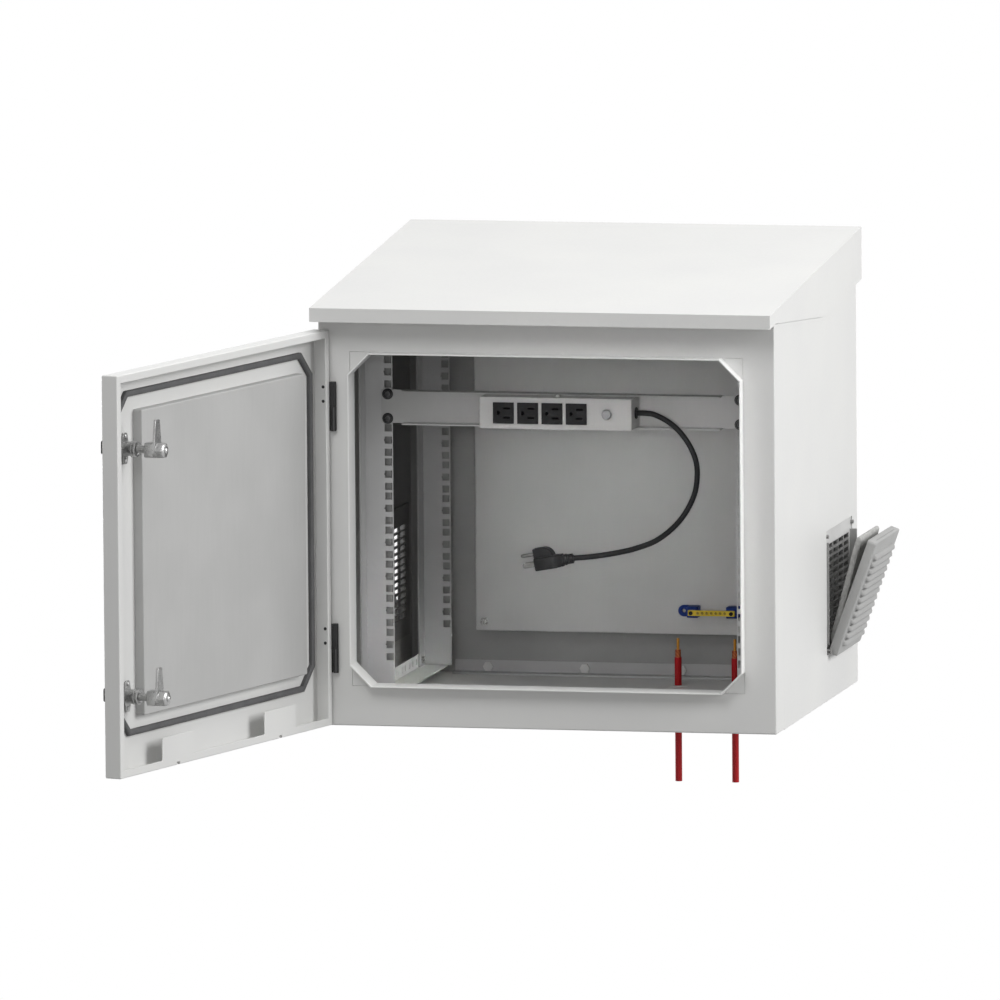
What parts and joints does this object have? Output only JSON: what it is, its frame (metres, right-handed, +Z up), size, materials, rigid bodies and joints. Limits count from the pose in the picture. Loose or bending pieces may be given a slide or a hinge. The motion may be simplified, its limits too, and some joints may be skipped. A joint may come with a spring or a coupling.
{
  "type": "outdoor equipment cabinet",
  "caption": "Sheet-metal outdoor rack cabinet with a sloped rain hood, a hinged latching door, rack rails, a power strip, an earth bar and tilting louvred side vents.",
  "frame": {"origin": "centre of the wall bolt pattern on the outer rear face", "axes": "+Z up, +Y out of the rear face towards the wall, the door faces -Y, +X to the right seen from the front"},
  "size_m": [0.8329, 1.1132, 0.7208],
  "materials": {
    "body_paint": "light grey textured powder coat",
    "rail_steel": "zinc-plated sheet steel",
    "plate_steel": "satin zinc-plated sheet",
    "bright_screws": "bright zinc",
    "strip_paint": "grey satin paint",
    "black_plastic": "moulded, satin",
    "button_plastic": "moulded, satin",
    "black_steel": "black coated steel",
    "cord_rubber": "soft black jacket",
    "earth_brass": "bright brass",
    "blue_insulator": "glossy moulded blue",
    "red_jacket": "red cable jacket",
    "copper_braid": "bare copper braid",
    "vent_plastic": "light grey moulded plastic",
    "filter_felt": "pale filter felt",
    "gasket_foam": "dark closed-cell foam",
    "latch_zinc": "cast zinc, satin",
    "knob_black": "black coated metal"
  },
  "bodies": {
    "cabinet": {"left_panel": "body_paint", "right_panel": "body_paint", "rear_panel": "body_paint", "floor_panel": "body_paint", "top_panel": "body_paint", "front_frame": "body_paint", "corner_gussets": "body_paint", "opening_rim": "body_paint", "roof_hood": "body_paint", "upper_hinge_base": "black_steel", "lower_hinge_base": "black_steel", "mounting_plate": "plate_steel", "plate_studs": "bright_screws", "rear_floor_angle": "rail_steel", "floor_bolts": "bright_screws", "front_left_rail": "rail_steel", "front_right_rail": "rail_steel", "rear_left_rail": "rail_steel", "rear_right_rail": "rail_steel", "rail_brackets": "rail_steel", "rail_screws": "bright_screws", "strip_channel": "strip_paint", "strip_box": "strip_paint", "outlet_1": "black_plastic", "outlet_2": "black_plastic", "outlet_3": "black_plastic", "outlet_4": "black_plastic", "strip_grommet": "black_plastic", "rack_screws": "black_steel", "earth_screw": "bright_screws", "power_cord": "cord_rubber", "cord_plug": "cord_rubber", "plug_pins": "bright_screws", "bus_bar": "earth_brass", "bus_screws": "black_steel", "bus_insulators": "blue_insulator", "cable_glands": "body_paint", "cable_tails": "red_jacket", "cable_shields": "copper_braid", "cable_cores": "copper_braid", "left_floor_cable": "red_jacket", "right_floor_cable": "red_jacket", "left_vent_frame": "vent_plastic", "right_vent_frame": "vent_plastic"},
    "door": {"door_skin": "body_paint", "door_stiffener": "plate_steel", "door_gasket": "gasket_foam", "upper_hinge_leaf": "black_steel", "lower_hinge_leaf": "black_steel", "upper_latch_housing": "latch_zinc", "lower_latch_housing": "latch_zinc"},
    "upper_latch": {"upper_latch_spindle": "knob_black", "upper_latch_cam": "latch_zinc"},
    "lower_latch": {"lower_latch_spindle": "knob_black", "lower_latch_cam": "latch_zinc"},
    "button": {"strip_button": "button_plastic"},
    "left_filter": {"left_vent_filter": "filter_felt"},
    "right_filter": {"right_vent_filter": "filter_felt"},
    "left_cover": {"left_vent_cover": "vent_plastic"},
    "right_cover": {"right_vent_cover": "vent_plastic"}
  },
  "joints": [
    {"name": "door_swing", "type": "hinge", "parent": "cabinet", "child": "door", "pos_m": [-0.2791, -0.5351, 0], "axis": [0, 0, -1], "range_deg": [-105.3, 5]},
    {"name": "upper_latch_turn", "type": "hinge", "parent": "door", "child": "upper_latch", "pos_m": [-0.41547, -1.03358, 0.151], "axis": [0.9646, -0.2639, 0], "range_deg": [0, 90]},
    {"name": "lower_latch_turn", "type": "hinge", "parent": "door", "child": "lower_latch", "pos_m": [-0.41547, -1.03358, -0.165], "axis": [0.9646, -0.2639, 0], "range_deg": [0, 90]},
    {"name": "button_press", "type": "slide", "parent": "cabinet", "child": "button", "axis": [0, 1, 0], "range_m": [0, 0.0025], "stiffness_N_per_m": 400},
    {"name": "left_cover_tilt", "type": "hinge", "parent": "cabinet", "child": "left_cover", "pos_m": [-0.3025, -0.118, -0.2005], "axis": [0, -1, 0], "range_deg": [-19.8, 0]},
    {"name": "right_cover_tilt", "type": "hinge", "parent": "cabinet", "child": "right_cover", "pos_m": [0.3025, -0.118, -0.2005], "axis": [0, 1, 0], "range_deg": [-19.8, 0]},
    {"name": "left_filter_tilt", "type": "hinge", "parent": "cabinet", "child": "left_filter", "pos_m": [-0.3028, -0.118, -0.1865], "axis": [0, -1, 0], "range_deg": [-15, 0]},
    {"name": "right_filter_tilt", "type": "hinge", "parent": "cabinet", "child": "right_filter", "pos_m": [0.3028, -0.118, -0.1865], "axis": [0, 1, 0], "range_deg": [-15, 0]}
  ],
  "couplings": [
    {"joint": "left_filter_tilt", "follows": "left_cover_tilt", "ratio": 0.7575},
    {"joint": "right_filter_tilt", "follows": "right_cover_tilt", "ratio": 0.7575}
  ]
}
